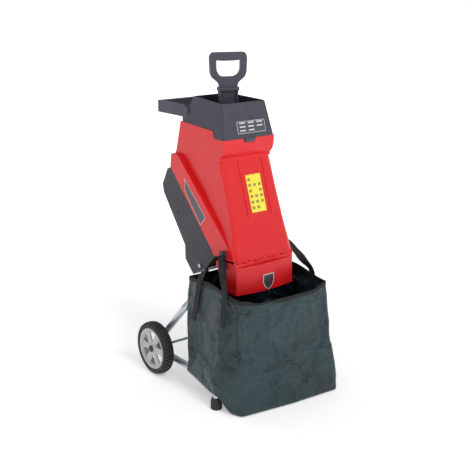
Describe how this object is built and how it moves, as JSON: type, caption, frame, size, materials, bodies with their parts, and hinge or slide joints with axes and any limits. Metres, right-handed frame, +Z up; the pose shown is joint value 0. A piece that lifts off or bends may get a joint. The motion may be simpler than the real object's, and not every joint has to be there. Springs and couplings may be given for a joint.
{
  "type": "electric wood chipper",
  "caption": "Electric wood chipper on two wheels, with a tilting cover and hopper, a push-down plunger, a belt-driven blade disc and a cloth catch bag.",
  "frame": {"origin": "on the ground, midway between the wheels and midway along the machine's whole depth", "axes": "+Z up, -Y to the front where the chips come out into the bag, +X to the machine's side; symmetric about x = 0 but for the plunger's turn and the switch gear"},
  "size_m": [0.4448, 0.5825, 1.058],
  "materials": {
    "steel_tube": "satin",
    "steel": "satin",
    "bright_steel": "polished",
    "cast_alloy": "matt",
    "rubber": "matt",
    "tyre": "matt",
    "black_plastic": "matt",
    "slate_plastic": "satin",
    "red_plastic": "gloss",
    "rim_plastic": "satin",
    "copper": "satin",
    "carbon": "matt",
    "label_yellow": "satin",
    "badge_pale": "gloss",
    "plate_dark": "satin",
    "green_plastic": "gloss",
    "button_red": "gloss",
    "cream_plastic": "matt",
    "bag_cloth": "woven",
    "black_webbing": "woven"
  },
  "bodies": {
    "chassis": {"left_frame_tube": "steel_tube", "right_frame_tube": "steel_tube", "axle": "bright_steel", "left_foot": "rubber", "right_foot": "rubber", "motor_housing": "black_plastic", "cutter_deck": "cast_alloy", "discharge_chute": "red_plastic", "lower_badge": "badge_pale", "bag_hooks": "black_plastic", "housing_screws": "steel", "deck_screws": "steel", "hinge_pins": "bright_steel", "stator": "steel", "motor_end_bell": "cast_alloy", "carbon_brushes": "carbon", "motor_bearings": "bright_steel", "bearing_housing": "cast_alloy", "spindle_bearings": "bright_steel", "drive_belt": "rubber", "switch_body": "black_plastic", "safety_switch": "plate_dark", "run_capacitor": "cream_plastic", "power_inlet": "black_plastic", "bag_shell": "bag_cloth", "bag_binding": "black_webbing", "bag_straps": "black_webbing"},
    "cover": {"upper_cover": "red_plastic", "hopper": "slate_plastic", "feed_throat": "slate_plastic", "front_label": "label_yellow", "side_plates": "plate_dark", "rating_label": "plate_dark", "cover_screws": "steel"},
    "lock": {"lock_knob": "black_plastic", "lock_shank": "steel"},
    "blade_rotor": {"spindle": "bright_steel", "spindle_nut": "steel", "blade_disc": "steel", "chipper_blades": "bright_steel", "blade_screws": "steel", "drive_pulley": "cast_alloy"},
    "motor_rotor": {"motor_shaft": "bright_steel", "armature": "copper", "commutator": "copper", "cooling_fan": "slate_plastic", "motor_pulley": "steel"},
    "plunger": {"plunger_grip": "slate_plastic", "plunger_shaft": "slate_plastic", "plunger_foot": "slate_plastic"},
    "left_wheel": {"left_tyre": "tyre", "left_rim": "rim_plastic", "left_hub_cap": "black_plastic"},
    "right_wheel": {"right_tyre": "tyre", "right_rim": "rim_plastic", "right_hub_cap": "black_plastic"},
    "rocker": {"power_rocker": "green_plastic"},
    "reset": {"reset_button": "button_red"}
  },
  "joints": [
    {"name": "cover_tilt", "type": "hinge", "parent": "chassis", "child": "cover", "pos_m": [0, -0.146, 0.446], "axis": [1, 0, 0], "range_deg": [0, 70]},
    {"name": "lock_knob_turn", "type": "hinge", "parent": "cover", "child": "lock", "pos_m": [0, 0.229, 0.719], "axis": [0, -0.5886, 0.8085], "range_deg": [0, 1080]},
    {"name": "plunger_slide", "type": "slide", "parent": "cover", "child": "plunger", "axis": [0, 0, 1], "range_m": [0, 0.4]},
    {"name": "blade_spin", "type": "hinge", "parent": "chassis", "child": "blade_rotor", "pos_m": [0, 0.02875, 0.52095], "axis": [0, -0.7193, 0.6947], "continuous": true},
    {"name": "motor_spin", "type": "hinge", "parent": "chassis", "child": "motor_rotor", "pos_m": [0, 0.1399, 0.63605], "axis": [0, -0.7193, 0.6947], "continuous": true},
    {"name": "left_wheel_spin", "type": "hinge", "parent": "chassis", "child": "left_wheel", "pos_m": [-0.201, 0.174, 0.089], "axis": [1, 0, 0], "continuous": true},
    {"name": "right_wheel_spin", "type": "hinge", "parent": "chassis", "child": "right_wheel", "pos_m": [0.201, 0.174, 0.089], "axis": [1, 0, 0], "continuous": true},
    {"name": "power_rocker_tilt", "type": "hinge", "parent": "chassis", "child": "rocker", "pos_m": [0, 0.18499, 0.52439], "axis": [1, 0, 0], "range_deg": [0, 14]},
    {"name": "reset_button_press", "type": "slide", "parent": "chassis", "child": "reset", "axis": [0, -0.7193, 0.6947], "range_m": [0, 0.003]}
  ],
  "couplings": [
    {"joint": "motor_spin", "follows": "blade_spin", "ratio": 5}
  ]
}
